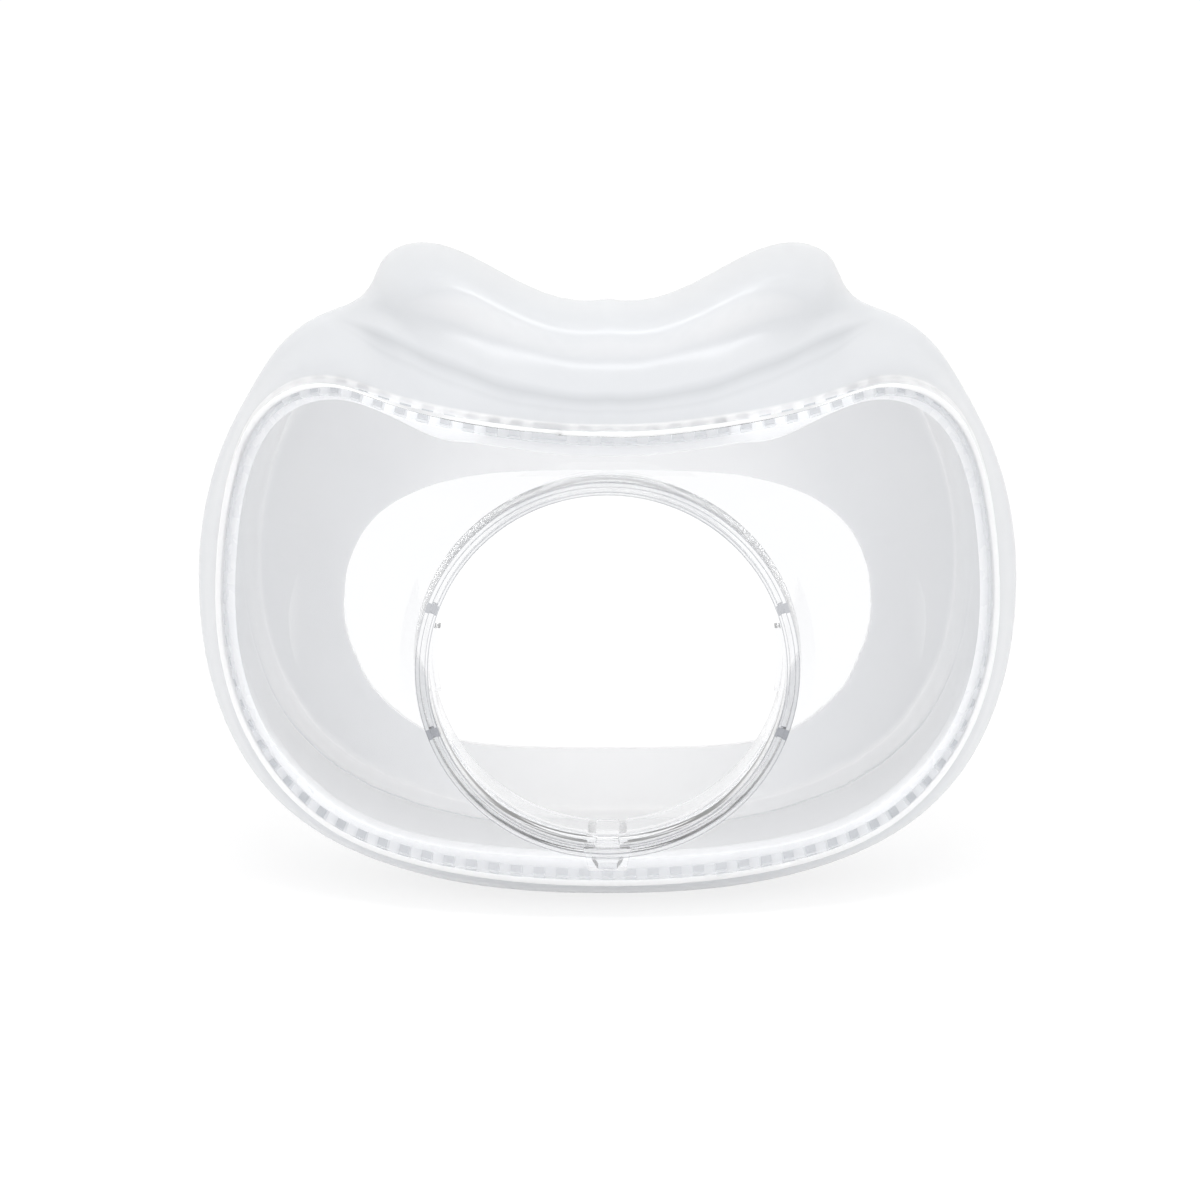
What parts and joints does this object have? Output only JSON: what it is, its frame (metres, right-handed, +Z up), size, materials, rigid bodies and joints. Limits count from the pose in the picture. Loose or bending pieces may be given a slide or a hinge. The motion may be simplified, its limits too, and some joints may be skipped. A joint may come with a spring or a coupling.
{
  "type": "full face cpap mask cushion module",
  "caption": "Under-nose full face breathing mask cushion: milky silicone seal with nasal wings on a clear domed shell with a round keyed port.",
  "frame": {"origin": "on the port's axis, in the plane of the port's front rim", "axes": "+X across the face, +Y from the port towards the face, +Z up towards the nose"},
  "size_m": [0.0974, 0.0507, 0.0747],
  "materials": {
    "clear_polycarbonate": "gloss",
    "silicone": "satin"
  },
  "bodies": {
    "root": {"clear_shell": "clear_polycarbonate", "silicone_cushion": "silicone"}
  },
  "joints": []
}
